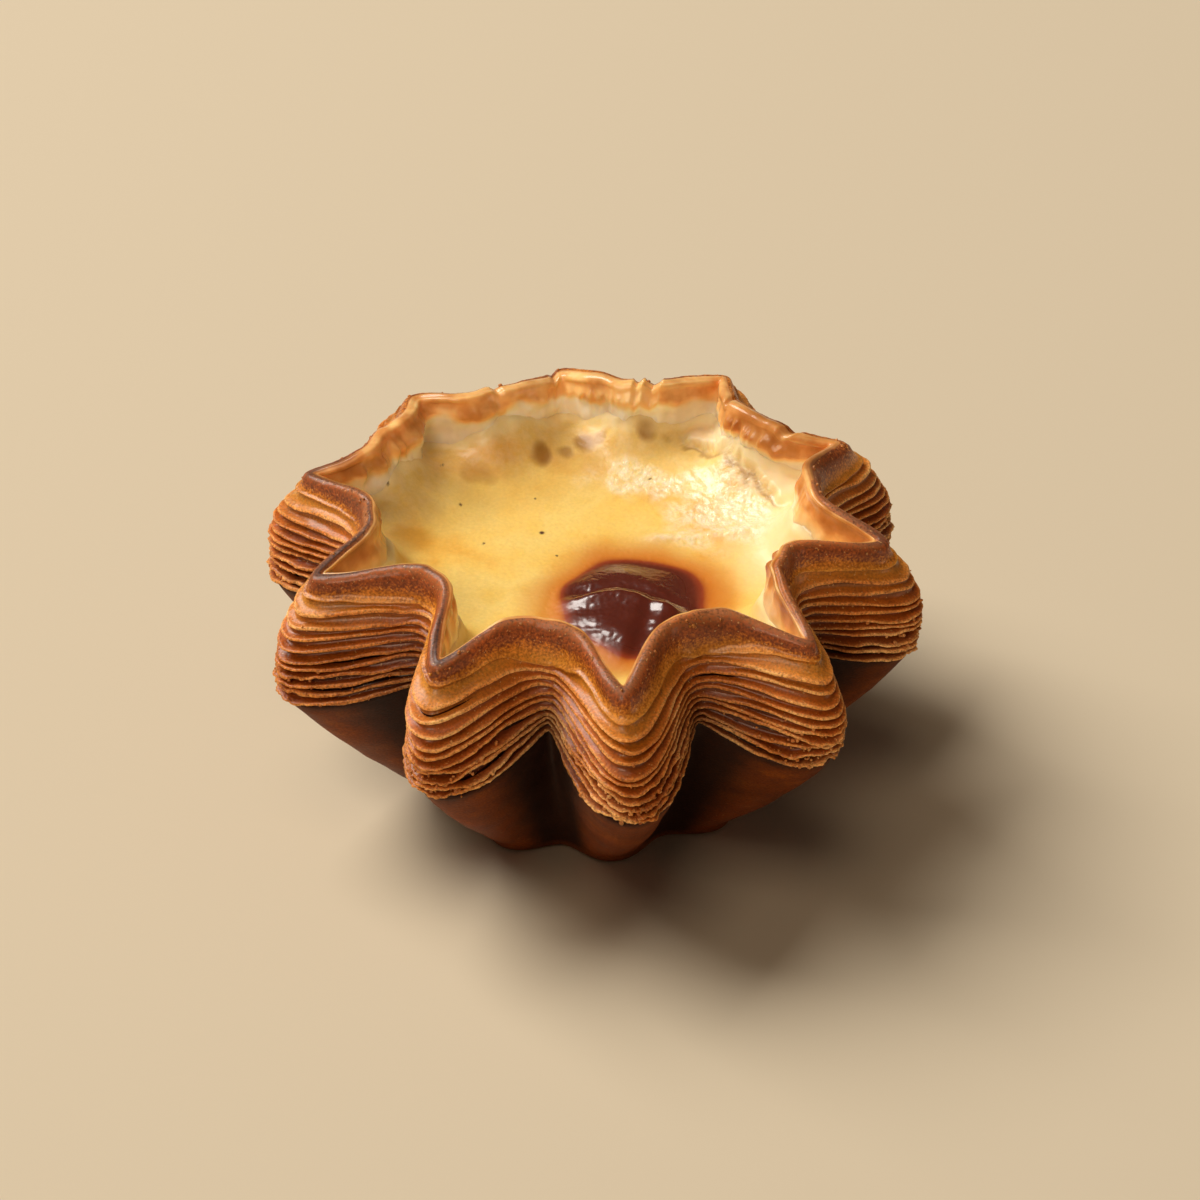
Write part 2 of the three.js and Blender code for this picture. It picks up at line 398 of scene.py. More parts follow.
def rim_cover(u):
    """How much further in the inner side of the rim lies where the rim runs askew."""
    step = 0.004
    run = (band(u + step, 0.0) - band(u - step, 0.0))[:, :2]
    out = band(u, 0.0)[:, :2]
    square = np.abs(run[:, 0] * out[:, 1] - run[:, 1] * out[:, 0])
    square /= np.linalg.norm(run, axis=1) * np.linalg.norm(out, axis=1)
    return np.clip(1 / square, 1.0, 1.7)


def rim_wander(u):
    """How far the rim rises and dips along its run, with torn nicks at the back."""
    turn = turn_at(u)
    rise = 0.32 * round_noise(u, 2.6, 3) + 0.14 * round_noise(u, 9, 4) - marked(turn, RIM_DIP)
    for place, width, depth in RIM_NICKS:
        rise = rise - depth * np.clip(1 - np.abs(turn - place) / width, 0, 1) ** 0.7
    return rise


def on_band(u, place, rise):
    """Points at a place along the cut band, risen square to it, with the rim's rise and dip."""
    place = np.clip(place, 0, 1) + 0 * u
    swirl = np.sin(7 * place + 3 * round_noise(u, 1, 92))
    lump = 0.3 * round_noise(u, 2.2, 90) + 0.25 * round_noise(u, 1.3, 91) * swirl
    points = band(u, place) + band_normal(u, place) * (rise + lump * smooth(0.0, 0.3, place))[:, None]
    points[:, 2] += rim_wander(u) * (1 - smooth(0.0, 0.25, place))
    return points


def leaf_section(leaf, u):
    """Rows round one thin leaf: place along the band, rise, lip mask, painted crevice shade and crumb size.
    """
    depth, above = leaf / LEAVES, (leaf - 1) / LEAVES
    open_share = in_lobe(u)
    crumbly = smooth(0.4, 0.8, depth) * open_share
    top, bottom = lip_place(leaf - 1, u), lip_place(leaf, u)
    chip = 1.4 * np.clip(round_noise(u, 5, 200 + leaf) - 0.15, 0, 1)
    chip = chip + 0.6 * np.clip(round_noise(u, 13, 230 + leaf), 0, 1)
    bottom = bottom - (bottom - top) * chip * mix(0.12, 0.65, crumbly)
    gape = crumbly * np.clip(0.1 + 1.5 * round_noise(u, 2.1, 150 + leaf), 0, 1)
    lift = mix(*LIP_LIFT, depth) * open_share * (1 + 0.7 * round_noise(u, 2.5, 40 + leaf) - 0.6 * gape)
    cut = mix(*LIP_CUT, above) * open_share * (1 + 0.4 * round_noise(u, 1.8, 59 + leaf) + 1.5 * gape)
    thick = LIP_THICKNESS / BAND_LENGTH * (1 + 0.35 * round_noise(u, 7, 260 + leaf))
    nose = mix(0.03, 0.17, crumbly) * (round_noise(u, 30, 80 + leaf) + round_noise(u, 13, 120 + leaf))
    dark = smooth(0.1, 0.45, depth)
    # The root under the leaf above, the tread, the torn lip and the underside back to the root
    rows = [
        (top - 1.2 / BAND_LENGTH, -cut - 0.2, 0.0, 1.0, 0.0),
        (top - 0.3 / BAND_LENGTH, -cut, 0.0, 1.0, 0.0),
    ]
    for share in (0.1, 0.25, 0.42, 0.58, 0.72, 0.83, 0.92):
        rise = mix(-cut, lift * 0.9, share**2.6) - 0.12 * np.sin(np.pi * share)
        # Painted shade: the tread darkens towards its root under the leaf above
        shade = dark * (1 - share) ** 1.3 * (0.65 + 0.35 * gape)
        rows.append((mix(top, bottom - thick, share), rise, 0.35 * share**6, shade, 0.5 * share**3))
    rows += [
        (bottom - thick, lift * 0.9 + 0.5 * nose, 0.6, 0.0, 0.8),
        (bottom - 0.6 * thick, lift + nose, 0.9, 0.0, 1.0),
        (bottom - 0.25 * thick, lift * 0.95 + nose, 1.0, 0.0, 1.0),
        (bottom, lift * 0.5 + 0.6 * nose, 0.8, 0.0, 1.0),
        (bottom - 0.1 * thick, -0.1 + 0.3 * nose, 0.4, 0.4, 0.6),
        (mix(top, bottom, 0.5), -cut - 0.3, 0.0, 1.0, 0.0),
        rows[0],
    ]
    return rows, mix(0.035, 0.16, crumbly)


def make_leaf(leaf):
    """One thin leaf of the cut band, a closed ring of pastry with a torn and crumbly lip."""
    u = np.arange(LEAF_COLUMNS) * FLUTES / LEAF_COLUMNS
    section, crumb = leaf_section(leaf, u)
    rows = []
    for place, rise, lip, crevice_shade, rough in section:
        points = on_band(u, place, rise)
        speckle = grain(points, 0.55, 300 + leaf) + 0.7 * grain(points, 0.28, 320 + leaf) if rough else 0
        points = on_band(u, place, rise + crumb * rough * speckle)
        # Painted shade in the crevices between leaves and deep in the pleats
        masks = {"lip": lip, "crevice_shade": crevice_shade, "down": place, "pleat_shade": painted_pleat_shade(u, place)}
        rows.append((points, masks))
    rows[-1] = rows[0]
    return wrap(f"pastry_leaf_{leaf:02d}", rows, PASTRY_MASKS)


def make_crumbs():
    """Crumbs and beads of burst crust that cling to the lower lips of the lobes and to the crest."""
    draw = np.random.default_rng(7)
    bpy.ops.object.select_all(action="DESELECT")
    bpy.ops.mesh.primitive_ico_sphere_add(subdivisions=2, radius=1.0)
    ball = bpy.context.object
    shape = np.empty(len(ball.data.vertices) * 3)
    ball.data.vertices.foreach_get("co", shape)
    shape = shape.reshape(-1, 3)
    faces = np.array([list(face.vertices) for face in ball.data.polygons])
    bpy.data.objects.remove(ball)
    spots, sizes, marks = [], [], []
    for leaf in range(3, LEAVES + 1):
        count = int(mix(8, 170, smooth(0.45, 0.8, leaf / LEAVES))) // (2 if leaf == LEAVES else 1)
        u = draw.integers(0, FLUTES, count) + draw.normal(0, 0.17, count)
        place = lip_place(leaf, u) - np.abs(draw.normal(0, 0.35, count)) / BAND_LENGTH
        spots.append(on_band(u, place, draw.uniform(-0.1, 0.3, count) * in_lobe(u)))
        sizes.append(draw.uniform(0.1, 0.32, count) * mix(0.7, 1.0, leaf / LEAVES))
        marks.append((place, 0.15 + 0.55 * draw.random(count)))
    u = draw.uniform(0, FLUTES, CREST_CRUMBS)
    place = draw.uniform(0.01, 0.09, CREST_CRUMBS)
    spots.append(on_band(u, place, 0.22 + 0 * u))
    sizes.append(draw.uniform(0.14, 0.3, CREST_CRUMBS))
    marks.append((place + 0.04, 0.25 + 0 * u))
    spots, sizes = np.concatenate(spots), np.concatenate(sizes)
    place, lip = (np.concatenate(column) for column in zip(*marks))
    stretch = draw.uniform(0.6, 1.2, (len(spots), 1, 3))
    points = spots[:, None] + shape * stretch * sizes[:, None, None]
    points += 0.25 * sizes[:, None, None] * draw.normal(0, 0.5, points.shape)
    mesh = bpy.data.meshes.new("pastry_crumbs")
    corners = faces + np.arange(len(spots))[:, None, None] * len(shape)
    mesh.from_pydata((points.reshape(-1, 3) * MM).tolist(), [], corners.reshape(-1, 3).tolist())
    piece = bpy.data.objects.new("pastry_crumbs", mesh)
    bpy.context.scene.collection.objects.link(piece)
    for mask in PASTRY_MASKS:
        values = {"down": place, "lip": lip}.get(mask, 0 * lip)
        attribute = mesh.attributes.new(mask, "FLOAT", "POINT")
        attribute.data.foreach_set("value", np.repeat(values, len(shape)).astype(np.float32))
    mesh.shade_smooth()
    return piece


def shell_round(u):
    """What changes round the shell: its turn, its back, its creases, how it is baked and how it wanders."""
    turn = turn_at(u)
    back = smooth(95, 125, np.minimum(turn, 360 - turn))
    notch = wave(u, -0.9) ** 1.5
    burnt = 0.8 * notch + 0.35 * round_noise(u, 3, 15) + marked(turn, RIM_BURNT)
    return SimpleNamespace(
        turn=turn,
        back=back,
        notch=notch,
        burnt=mix(1.0, 0.1, back) * np.clip(burnt, 0.0, 1),
        brown=marked(turn, RIM_BROWN),
        thick=BACK_THICKENING * back,
        wander=rim_wander(u),
    )


def inside_rows(u, at):
    """The inside of the shell from its floor up, crimped and lumpy under the rim."""
    rows = [(centre(u, FLOOR_HEIGHT), {"inside": 1.0})]
    rows += [(inner_wall(u, t), {"inside": 1.0}) for t in (1.0, 0.7, 0.48)]
    ripple = round_noise(u, 22, 7) * np.clip(0.75 + round_noise(u, 1.6, 17), 0, 1.2)
    furrow = at.back * (0.5 + 0.3 * round_noise(u, 2.5, 18))
    for t in np.linspace(1, 0, 26) ** 1.3 * 0.38:
        points = inner_wall(u, t)
        crimp = 0.6 * ripple * smooth(0.16, 0.02, t)
        swell = 0.4 * grain(points, 5.0, 8) + 0.28 * grain(points, 2.2, 9) + 0.1 * grain(points, 1.0, 10)
        swell = swell - furrow * bell(t - 0.05, 0.04)
        thick = at.thick * (1 - smooth(0.03, 0.22, t))
        points = pushed(points, (crimp + swell) * smooth(0.0, 0.04, t) - thick)
        points[:, 2] += at.wander * (1 - smooth(0.0, 0.2, t))
        fade = smooth(0.045, 0.11, t + 0.025 * grain(points, 3.0, 19))
        far = mix(0.05 + 0.12 * (1 - at.brown), 1.0, fade * (1 - 0.35 * at.brown))
        near = np.clip(mix(0.06, 0.4, smooth(0.02, 0.2, t)) + 0.09 * ripple, 0.03, 1)
        rows.append((points, {"inside": mix(near, far, at.back)}))
    return rows


def rim_rows(u, at):
    """The rim: a thin inner sheet, a groove, and the burnt crest of the first leaf."""
    rows = []
    crest = band(u, 0.0)
    crest[:, 2] += at.wander
    thickness = rim_cover(u) + at.thick
    sunk = np.clip(round_noise(u, 2.2, 16), 0, 1)
    for inward, drop, groove, burnt in RIM_ROWS:
        points = pushed(crest, -inward * thickness)
        points[:, 2] += 0.3 * at.back * math.sin(math.pi * inward)
        points[:, 2] -= drop + 0.08 * round_noise(u, 6, 11) + groove * sunk
        sheet = np.maximum(0.11 if burnt < 0.2 else 0.0, 0.17 * at.back * (1 - 0.6 * at.brown))
        rows.append((points, {"crest": burnt * at.burnt, "down": at.back * BACK_TOAST, "inside": sheet}))
    return rows


def first_leaf_rows(u, at):
    """The thick first leaf with its toasted roll and amber tread, and the backing under the thin leaves,
    painted dark as shade.
    """
    rows = []
    swell = 1 + 0.3 * round_noise(u, 1.7, 33)
    bottom = lip_place(1, u)
    burnt_reach = 0.014 + 0.03 * at.notch
    for share, height in FIRST_LEAF:
        place, rise = bottom * share, height * swell
        points = on_band(u, place, rise)
        speckle = grain(points, 0.6, 21) + 0.7 * grain(points, 0.3, 22)
        points = on_band(u, place, rise + 0.03 * speckle)
        toast = np.maximum(place * mix(0.52, 1.0, wave(u, 0.0)), at.back * BACK_TOAST)
        crest = 0.8 * at.burnt * (1 - smooth(0.3, 1.0, place / burnt_reach))
        rows.append((points, {"down": toast, "crest": crest}))
    # The backing is painted near black, as the shade seen between the thin leaves
    for place in (0.25, 0.45, 0.65, 0.85, 1.0):
        points = on_band(u, place, -BACKING_DEPTH * in_lobe(u))
        rows.append((points, {"down": place, "crevice_shade": 1.0}))
    return rows


def outer_rows(u, at):
    """The outer wall under the cut band, with painted shade in its pleats and under the band and painted
    golden light in places, and the flat base.
    """
    rows = []
    pleat = smooth(0.25, 0.8, 1 - wave(u, 0.5))
    for t in np.linspace(0, 1, 22) ** 1.2:
        points = outer_wall(u, t)
        overhung = 1 - smooth(0.0, 0.08, t)
        streak = 0.07 * grain(points * (0.25, 0.25, 1.0), 1.1, 14)
        points = pushed(points, -0.25 * overhung + 0.15 * grain(points, 5.0, 13) + streak)
        # Painted light: the lower wall and stretches round it are painted lighter, as a golden glow
        painted_light = 0.6 * smooth(0.45, 0.95, t) * np.clip(0.5 + round_noise(u, 1.2, 97), 0, 1)
        for place, width, strength in WALL_PAINTED_LIGHT:
            beside = (at.turn - place + 180) % 360 - 180
            painted_light = np.maximum(painted_light, strength * bell(beside, width) * smooth(0.25, 0.75, t))
        wall = 1 - painted_light * (1 - pleat)
        # Painted shade: dark in the pleats and just under the overhanging band
        rows.append((points, {"wall": wall, "down": 1.0, "pleat_shade": 0.95 * pleat, "crevice_shade": 0.9 * overhung}))
    sole = outer_wall(u, 1.0)
    for share, height in ((0.985, 0.35), (BASE_INSET, 0.0), (0.6, 0.0)):
        rows.append((sole * (share, share, 0) + (0, 0, height), {"wall": 1.0, "down": 1.0}))
    rows.append((centre(u, 0.0), {"wall": 1.0, "down": 1.0}))
    return rows


def make_pastry_shell():
    """The shell under the leaves: floor, inside, rim and first leaf, the backing, the wall and the base."""
    u = np.arange(SHELL_COLUMNS) * FLUTES / SHELL_COLUMNS
    at = shell_round(u)
    rows = inside_rows(u, at) + rim_rows(u, at) + first_leaf_rows(u, at) + outer_rows(u, at)
    return wrap("pastry_wall", rows, PASTRY_MASKS)


def blister_form(x, y, flat):
    """The blister's rise, how burnt it is and its halo: a puffed skin, creased across its back."""
    right, behind = x - BLISTER[0], y - BLISTER[1]
    across, away = right / BLISTER_SPREAD[0], behind / BLISTER_SPREAD[1]
    waver = 0.08 * grain(flat, 5.0, 31)
    reach = np.hypot(across, away) + waver
    dome = BLISTER_HEIGHT * np.clip(1 - reach**2, 0, 1) ** 1.3
    # The crease runs across behind the puffed lobes, lower on the left than on the right
    past_crease = behind - (3.4 - 0.16 * right + 0.9 * np.cos(right / 2.6))
    fold = -0.65 * bell(past_crease, 1.4) + 0.7 * bell(past_crease + 2.0, 1.5)
    cleft = -0.5 * bell(right - 3.6 - 0.2 * past_crease, 1.1) * smooth(0.5, -1.5, past_crease)
    wrinkle = 0.16 * grain(flat * (1.0, 1.3, 1.0), 3.6, 34) + 0.02 * grain(flat, 0.6, 33)
    inside = 1 - smooth(0.55, 0.95, reach)
    # The burnt skin lies a little behind and to the right of the puffed middle
    stain = np.hypot(across - 0.12, away - 0.15) / 1.03 + waver
    rise = dome + inside * (fold + cleft + wrinkle)
    return rise, 1 - smooth(0.72, 1.02, stain), 1 - smooth(0.9, 1.5, stain)


def pits_and_specks(x, y, flat):
    """Burst bubbles and dark specks of the custard, as masks."""
    pits_and_shade, speck = 0 * x, 0 * x
    waver = 0.25 * grain(flat, 2.0, 35)
    for place_x, place_y, radius, depth in CUSTARD_PITS:
        off = np.hypot(x - place_x, y - place_y) / radius + waver
        pits_and_shade = np.maximum(pits_and_shade, depth * (1 - smooth(0.3, 1.2, off)))
    for place_x, place_y, radius in CUSTARD_SPECKS:
        off = np.hypot(x - place_x, y - place_y) / radius
        speck = np.maximum(speck, 1 - smooth(0.5, 1.1, off))
    return pits_and_shade, speck


def torn_skin(x, y, flat, angle):
    """A torn skin of custard along the wall at the right of the back, and the shade under its edge."""
    ragged = np.hypot(x, y) + 0.4 * grain(flat, 1.7, 38) + 0.22 * grain(flat, 0.8, 39)
    ragged = ragged + 1.3 * bell(angle - 132, 13)
    along = smooth(112, 118, angle) * (1 - smooth(152, 157, angle))
    skin = along * smooth(TORN_SKIN_RADIUS, TORN_SKIN_RADIUS + 0.4, ragged)
    return skin, along * bell(ragged - TORN_SKIN_RADIUS + 0.45, 0.35)


def froth_and_ridge(x, y, flat, angle, from_wall):
    """Bubbly custard at the right, the back and along the wall, and a low frothy ridge at the right."""
    spot_x, spot_y, half_x, half_y = ROUGH_SPOT
    spot = np.hypot((x - spot_x) / half_x, (y - spot_y) / half_y) + 0.25 * grain(flat, 4.0, 40)
    spot_x, spot_y, half_x, half_y = FROTH_SPOT
    slanted = y - spot_y + 0.25 * (x - spot_x)
    froth = np.hypot((x - spot_x) / half_x, slanted / half_y) + 0.3 * grain(flat, 3.0, 44)
    from_front = 180 - np.abs(angle - 180)
    banked = smooth(9.0, 2.0, from_wall) * smooth(80, 120, from_front)
    froth_and_highlight = np.maximum(1 - smooth(0.4, 1.0, np.minimum(spot, froth + 0.1)), 0.3 * banked)
    ridge = bell(y - 7.0 - 0.06 * (x - 13), 0.85) * smooth(5.0, 9.0, x) * smooth(22.0, 17.0, x)
    return froth_and_highlight, ridge


def custard_relief(points, angle, from_wall):
    """What stands proud of the custard's plain bank, in millimetres, and its masks."""
    x, y = points[:, 0], points[:, 1]
    flat = np.stack([x, y, 0 * x], -1)
    rise, burn, halo = blister_form(x, y, flat)
    pits_and_shade, speck = pits_and_specks(x, y, flat)
    skin, under = torn_skin(x, y, flat, angle)
    froth_and_highlight, ridge = froth_and_ridge(x, y, flat, angle, from_wall)
    froth_and_highlight = froth_and_highlight * (1 - skin)
    rise = rise + 0.06 * grain(flat, 6.0, 48) + 0.015 * grain(flat, 0.5, 41)
    rise = rise + froth_and_highlight * (0.06 * grain(flat, 1.1, 36) + 0.04 * grain(flat, 0.55, 37))
    rise = rise + ridge * (0.36 + 0.12 * grain(flat, 1.5, 45))
    # Painted highlight: the ridge is painted pale with the froth, as a line of highlight along it
    froth_and_highlight = np.maximum(froth_and_highlight, 0.9 * ridge)
    # Painted shade: the custard is painted a deeper gold towards the back left, where the back rim's shadow
    # falls
    shaded = smooth(-6, 6, y - 18 - 0.36 * x) * (0.3 + 0.16 * grain(flat, 5.0, 47)) * (1 - froth_and_highlight)
    shaded = shaded * mix(0.3, 1.0, smooth(0.5, 3.5, from_wall))
    # The pits mask also takes the painted shade at the back left and the painted shadow under the torn
    # skin's edge
    pits_and_shade = np.maximum(np.maximum(pits_and_shade, shaded), 0.65 * under)
    rise = rise + 1.1 * skin + 0.2 * skin * grain(flat, 1.8, 42) - 0.1 * (pits_and_shade - shaded).clip(0)
    return rise, {"burn": burn, "halo": halo, "pits_and_shade": pits_and_shade, "froth_and_highlight": froth_and_highlight, "skin": skin, "speck": speck}


def make_custard():
    """The custard: flat in the middle, banked at the wall, with its blister and pits."""
    u = np.arange(CUSTARD_COLUMNS) * FLUTES / CUSTARD_COLUMNS
    turn = turn_at(u)
    back = smooth(80, 130, np.minimum(turn, 360 - turn))
    line = inner_wall(u, CUSTARD_EDGE - back * mix(0.055, -0.02, wave(u, 0.0)))
    reach = np.hypot(line[:, 0], line[:, 1])
    pool, brim = ring_mean(reach, 51), ring_mean(line[:, 2], 51)
    even = ring_mean(ring_mean(reach, 25), 15)
    angle = np.degrees(np.arctan2(line[:, 0], -line[:, 1])) % 360
    under = FLOOR_HEIGHT + CUSTARD_GAP
    rows = [(centre(u, under), {})]
    for t in (1.0, 0.6, 0.3):
        side = pushed(inner_wall(u, t), -CUSTARD_GAP)
        side[:, 2] = np.maximum(side[:, 2], under)
        rows.append((side, {}))
    for share in np.linspace(1, 0, CUSTARD_RINGS) ** 0.85:
        shore = mix(reach, even, smooth(0.98, 0.78, share))
        points = line * np.stack([share * shore / reach] * 2 + [1 + 0 * u], -1)
        from_wall = shore * (1 - share)
        bite = CUSTARD_BITE * (1 - smooth(0.0, 0.5, from_wall))
        points[:, :2] *= (1 + bite / reach)[:, None]
        from_pool = np.clip(np.minimum(from_wall, pool - shore * share), 0, None)
        bank = np.clip(1 - from_pool / mix(CUSTARD_BANK, BACK_BANK, back), 0, 1) ** mix(3.0, 2.0, back)
        for _ in range(3):
            bank = mix(bank, ring_mean(bank, 15), smooth(0.5, 4.0, from_wall))
        rise, masks = custard_relief(points, angle, from_wall)
        top = mix(line[:, 2], brim, smooth(0.0, 7.0, from_wall))
        film = np.clip(1 - from_wall / 1.5, 0, 1) ** 2
        points[:, 2] = mix(CUSTARD_LEVEL, top, bank) + rise + film
        masks["edge"] = 1 - smooth(0.0, 2.0, from_wall + 0.6 * grain(points, 1.5, 46))
        masks["pits_and_shade"] = masks["pits_and_shade"] * (1 - 0.85 * masks["edge"])
        # Painted highlight: the custard is painted pale at the right, where its bank catches the light, as
        # it is pale at the wall
        x, y = points[:, 0], points[:, 1]
        right = smooth(13.0, 23.0, x) * smooth(-8.0, 2.0, y) * smooth(14.0, 8.0, y)
        masks["edge"] = np.maximum(masks["edge"], right)
        rows.append((points, masks))
    rows[-1][0][:, 2] = rows[-1][0][:, 2].mean()
    return wrap("set_custard", rows, CUSTARD_MASKS)


def colour(code):
    """An sRGB hex colour as linear red, green, blue and alpha."""
    parts = [int(code[i : i + 2], 16) / 255 for i in (1, 3, 5)]
    linear = [c / 12.92 if c <= 0.04045 else ((c + 0.055) / 1.055) ** 2.4 for c in parts]
    return (*linear, 1.0)


def feed(tree, node, inputs):
    """Gives a node its inputs, by name or number: a socket is linked and a value is set."""
    for name, value in inputs.items():
        if isinstance(value, bpy.types.NodeSocket):
            tree.links.new(value, node.inputs[name])
        else:
            node.inputs[name].default_value = value


def add(tree, kind, inputs=None, stops=(), output=0, **settings):
    """Adds a node with its settings, colour stops and inputs, and returns one of its outputs."""
    made = tree.nodes.new(kind)
    for name, value in settings.items():
        setattr(made, name, value)
    for number, (place, code) in enumerate(stops):
        ramp = made.color_ramp.elements
        stop = ramp[number] if number < len(ramp) else ramp.new(place)
        stop.position = place
        stop.color = colour(code)
    feed(tree, made, inputs or {})
    return made.outputs[output]


def new_material(name):
    """A material with only its Principled shader and its output."""
    material = bpy.data.materials.new(name)
    material.use_nodes = True
    tree = material.node_tree
    shader = next(n for n in tree.nodes if n.type == "BSDF_PRINCIPLED")
    return material, tree, shader


def read_surface(tree, mask_names, patterns):
    """What a finish reads of its piece: the place, and the vertices' masks and noise patterns by name."""
    place = add(tree, "ShaderNodeTexCoord", output="Object")
    surface = {}
    for name in mask_names:
        surface[name] = add(tree, "ShaderNodeAttribute", output="Fac", attribute_name=name)
    for name, size, detail in patterns:
        inputs = {"Vector": place, "Scale": 1 / (size * MM), "Detail": detail}
        surface[name] = add(tree, "ShaderNodeTexNoise", inputs, output="Fac")
    return place, surface


def baked_pastry():
    """Laminated butter pastry, baked: tan lips, amber treads, burnt crest, pale inside, painted shade in
    crevices and pleats.
    """
    # Butter browns it in blotches under a thin gloss, while the torn lips stay dry and gritty
    material, tree, shader = new_material("baked_laminated_pastry")
    place, at = read_surface(tree, PASTRY_MASKS, PASTRY_PATTERNS)
    # Toasting runs down the band, with a gritty border to the burnt roll
    fuzz = add(tree, "ShaderNodeMapRange", {0: at["grit"], 1: 0.3, 2: 0.7, 3: -0.025, 4: 0.025})
    patchy = add(tree, "ShaderNodeMapRange", {0: at["blotch"], 1: 0.3, 2: 0.7, 3: -0.02, 4: 0.02})
    fuzz = add(tree, "ShaderNodeMath", {0: fuzz, 1: patchy}, operation="ADD")
    down = add(tree, "ShaderNodeMath", {0: at["down"], 1: fuzz}, operation="ADD")
    tread_stops = (
        (0.0, "#b87444"), (0.025, "#a45c2c"), (0.05, "#90481e"), (0.095, "#944a1a"), (0.13, "#bc7022"),
        (0.18, "#d48832"), (0.28, "#ca7824"), (0.45, "#b45912"), (0.8, "#9e460f"), (1.0, "#8a3c0d"),
    )
    base = add(tree, "ShaderNodeValToRGB", {"Fac": down}, tread_stops)
    # The inside goes from amber at the rim to cream
    washed = add(tree, "ShaderNodeMapRange", {0: at["wash"], 1: 0.3, 2: 0.7, 3: -0.07, 4: 0.07})
    inside = add(tree, "ShaderNodeMath", {0: at["inside"], 1: washed}, operation="ADD")
    inner_stops = (
        (0.0, "#b87030"), (0.1, "#dc9650"), (0.18, "#f8c078"), (0.32, "#fdd89c"), (0.5, "#ffebc8"),
        (0.7, "#fff1d8"), (1.0, "#fff1d8"),
    )
    inner = add(tree, "ShaderNodeValToRGB", {"Fac": inside}, inner_stops)
    is_inside = add(tree, "ShaderNodeMath", {0: at["inside"], 1: 0.01}, operation="GREATER_THAN")
    crust = add(tree, "ShaderNodeMath", {0: 1.0, 1: is_inside}, operation="SUBTRACT")
    tan_stops = ((0.3, "#de8036"), (0.5, "#ee984c"), (0.7, "#f8ba76"))
    tan = add(tree, "ShaderNodeValToRGB", {"Fac": at["blotch"]}, tan_stops)
    layers = add(tree, "ShaderNodeVectorMath", {0: place, 1: (1.0, 1.0, 2.0)}, operation="MULTIPLY")
    streak_inputs = {"Vector": layers, "Scale": 1 / (4 * MM), "Detail": 5.0}
    streak = add(tree, "ShaderNodeTexNoise", streak_inputs, output="Fac")
    wall_stops = ((0.3, "#622a05"), (0.5, "#703204"), (0.7, "#7e3e08"))
    wall = add(tree, "ShaderNodeValToRGB", {"Fac": streak}, wall_stops)
    # Painted shade: the crevices, the backing and the pleats' hollows are painted near black where shade
    # falls
    for share, tone in (
        (is_inside, inner),
        (at["lip"], tan),
        (at["wall"], wall),
        (at["crevice_shade"], colour("#2a0f03")),
        (at["pleat_shade"], colour("#240c02")),
        (at["crest"], colour("#50332a")),
    ):
        base = add(tree, "ShaderNodeMix", {0: share, 6: base, 7: tone}, output=2, data_type="RGBA")
    # Blotches shade the whole, and grit shades the crust, most on the lips and the roll
    shade = add(tree, "ShaderNodeMapRange", {0: at["blotch"], 1: 0.3, 2: 0.7, 3: 0.72, 4: 1.22})
    on_roll = add(tree, "ShaderNodeMapRange", {0: at["down"], 1: 0.06, 2: 0.13, 3: 1.0, 4: 0.0})
    roll = add(tree, "ShaderNodeMath", {0: on_roll, 1: crust}, operation="MULTIPLY")
    gritty = add(tree, "ShaderNodeMath", {0: at["lip"], 1: roll}, operation="MAXIMUM")
    coarse = add(tree, "ShaderNodeMath", {0: crust, 1: gritty}, operation="ADD")
    fine = add(tree, "ShaderNodeMapRange", {0: at["grit"], 1: 0.3, 2: 0.7, 3: -0.28, 4: 0.28})
    fine = add(tree, "ShaderNodeMath", {0: fine, 1: coarse, 2: 1.0}, operation="MULTIPLY_ADD")
    shade = add(tree, "ShaderNodeMath", {0: shade, 1: fine}, operation="MULTIPLY")
    base = add(tree, "ShaderNodeVectorMath", {0: base, "Scale": shade}, operation="SCALE")
    # Light grains of sugar on the crust, not on the wall, which also stand in for painted glints
    sugar_and_glint = add(tree, "ShaderNodeMapRange", {0: at["sugar_and_glint"], 1: 0.69, 2: 0.73, 3: 0.0, 4: 0.55})
    off_wall = add(tree, "ShaderNodeMath", {0: 1.0, 1: at["wall"]}, operation="SUBTRACT")
    for share in (crust, off_wall):
        sugar_and_glint = add(tree, "ShaderNodeMath", {0: sugar_and_glint, 1: share}, operation="MULTIPLY")
    sweet = {0: sugar_and_glint, 6: base, 7: colour("#dca868")}
    base = add(tree, "ShaderNodeMix", sweet, output=2, data_type="RGBA")
    relief = add(tree, "ShaderNodeMath", {0: at["lip"], 1: 0.6, 2: 0.25}, operation="MULTIPLY_ADD")
    relief = add(tree, "ShaderNodeMath", {0: relief, 1: crust}, operation="MULTIPLY")
    bump = add(tree, "ShaderNodeBump", {"Height": at["grit"], "Strength": relief, "Distance": 0.22 * MM})
    dull = add(tree, "ShaderNodeMath", {0: at["wall"], 1: at["crest"]}, operation="MAXIMUM")
    dull = add(tree, "ShaderNodeMath", {0: dull, 1: gritty}, operation="MAXIMUM")
    gloss = add(tree, "ShaderNodeMapRange", {0: at["blotch"], 1: 0.3, 2: 0.7, 3: 0.28, 4: 0.48})
    rough = add(tree, "ShaderNodeMath", {0: dull, 1: 0.25, 2: gloss}, operation="MULTIPLY_ADD")
    through = add(tree, "ShaderNodeMath", {0: is_inside, 1: 0.1, 2: 0.3}, operation="MULTIPLY_ADD")
